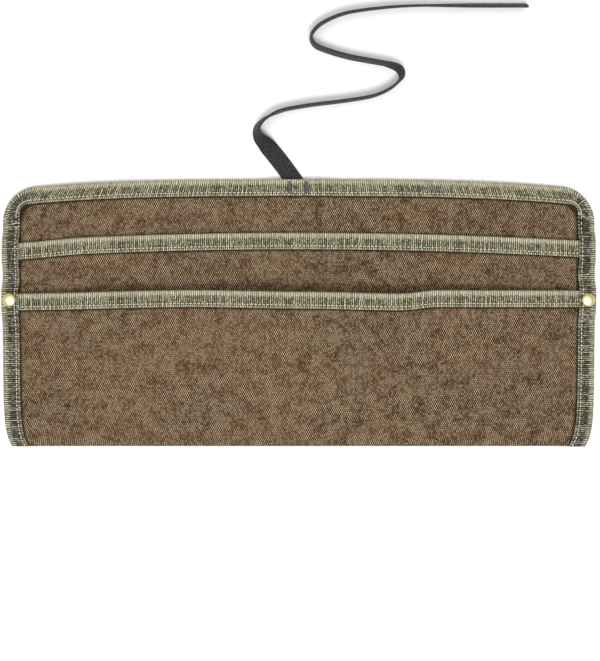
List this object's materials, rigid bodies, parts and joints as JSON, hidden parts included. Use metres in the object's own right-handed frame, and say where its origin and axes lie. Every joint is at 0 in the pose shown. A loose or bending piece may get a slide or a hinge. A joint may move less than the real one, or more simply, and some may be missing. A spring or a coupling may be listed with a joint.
{
  "type": "chef knife roll",
  "caption": "Waxed canvas knife roll lying open on its back, its pocket gaping, with ribbed tape bindings, domed brass rivets and a webbing tie strap.",
  "frame": {"origin": "The middle of the roll's flat underside, on the surface that it lies on.", "axes": "+X runs across the roll to the right, +Y up it from the bottom fold to the flap's edge, +Z away from the surface it lies on."},
  "size_m": [0.3388, 0.2543, 0.0162],
  "materials": {
    "canvas": "matte",
    "tape": "matte",
    "brass": "polished",
    "webbing": "matte"
  },
  "bodies": {
    "root": {"shell": "canvas", "lining": "canvas", "lining_binding": "tape", "pocket_binding": "tape", "edge_binding": "tape", "rivet_left": "brass", "rivet_right": "brass", "strap": "webbing"}
  },
  "joints": []
}
